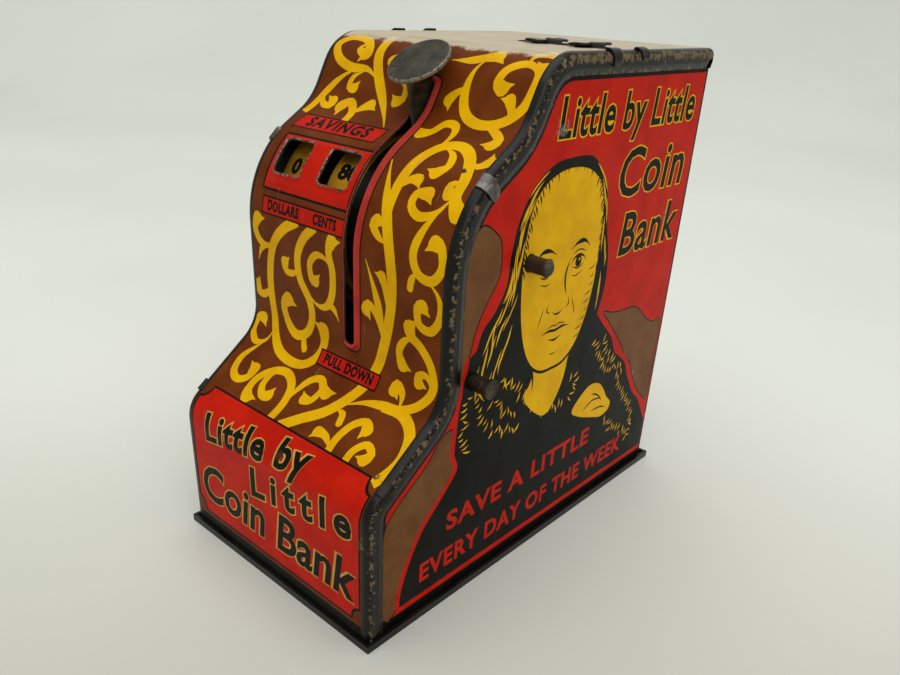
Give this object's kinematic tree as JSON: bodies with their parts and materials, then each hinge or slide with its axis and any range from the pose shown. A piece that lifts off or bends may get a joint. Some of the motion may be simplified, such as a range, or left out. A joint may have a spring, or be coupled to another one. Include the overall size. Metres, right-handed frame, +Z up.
{
  "type": "tin money box",
  "caption": "Register-shaped tin money box with a pull-down thumb lever, number drums behind windows, a coin slot on top and a sliding coin trap underneath.",
  "frame": {"origin": "centre of the footprint on the surface the box stands on", "axes": "+Z up, the front with the windows faces -Y, +X is the box's right-hand side"},
  "size_m": [0.065, 0.1026, 0.1025],
  "materials": {
    "printed_cover": "lithographed gloss, worn",
    "printed_sides": "lithographed gloss, worn",
    "black_tin": "gloss black, worn edges",
    "plain_tin": "dull tinplate",
    "steel": "dull",
    "lever_steel": "dark, aged",
    "spring_steel": "bright wire",
    "printed_drum": "yellow print, black figures"
  },
  "bodies": {
    "casing": {"front_top_cover": "printed_cover", "side_back_shell": "printed_sides", "base_plate": "black_tin", "door_rails": "plain_tin", "divider_plate": "plain_tin", "coin_chute": "black_tin", "main_axle": "steel", "lower_shaft": "steel", "left_spacer": "steel", "middle_washer": "steel", "right_spacer": "steel", "lower_left_spacer": "steel", "lower_middle_spacer": "steel", "lower_right_spacer": "steel", "lever_spring": "spring_steel", "cents_pawl_spring": "spring_steel", "dollars_pawl_spring": "spring_steel"},
    "lever": {"lever": "lever_steel", "drive_pawl_pin": "steel"},
    "drive_pawl": {"drive_pawl": "steel"},
    "cents_wheel": {"cents_drum": "printed_drum", "cents_hub": "steel", "cents_ratchet": "steel", "carry_finger": "steel"},
    "dollars_wheel": {"dollars_drum": "printed_drum", "dollars_hub": "steel", "dollars_star": "steel"},
    "cents_pawl": {"cents_pawl": "steel"},
    "dollars_pawl": {"dollars_pawl": "steel"},
    "coin_door": {"coin_door": "black_tin"}
  },
  "joints": [
    {"name": "lever_pull", "type": "hinge", "parent": "casing", "child": "lever", "pos_m": [0, -0.0099, 0.0665], "axis": [1, 0, 0], "range_deg": [0, 105], "stiffness_Nm_per_rad": 0.02, "springref_deg": -28.65},
    {"name": "cents_turn", "type": "hinge", "parent": "casing", "child": "cents_wheel", "pos_m": [0, -0.0099, 0.0665], "axis": [1, 0, 0], "continuous": true},
    {"name": "dollars_turn", "type": "hinge", "parent": "casing", "child": "dollars_wheel", "pos_m": [0, -0.0099, 0.0665], "axis": [1, 0, 0], "continuous": true},
    {"name": "drive_pawl_swing", "type": "hinge", "parent": "lever", "child": "drive_pawl", "pos_m": [0, -0.01232, 0.08181], "axis": [-1, 0, 0], "range_deg": [0, 15], "stiffness_Nm_per_rad": 0.0005, "springref_deg": -17.19},
    {"name": "cents_pawl_swing", "type": "hinge", "parent": "casing", "child": "cents_pawl", "pos_m": [0, -0.0241, 0.047], "axis": [-1, 0, 0], "range_deg": [0, 15], "stiffness_Nm_per_rad": 0.0005, "springref_deg": -17.19},
    {"name": "dollars_pawl_swing", "type": "hinge", "parent": "casing", "child": "dollars_pawl", "pos_m": [0, -0.0241, 0.047], "axis": [-1, 0, 0], "range_deg": [0, 15], "stiffness_Nm_per_rad": 0.0005, "springref_deg": -17.19},
    {"name": "door_slide", "type": "slide", "parent": "casing", "child": "coin_door", "axis": [0, -1, 0], "range_m": [0, 0.027]}
  ],
  "couplings": [
    {"joint": "dollars_turn", "follows": "cents_turn", "ratio": 0.1}
  ]
}
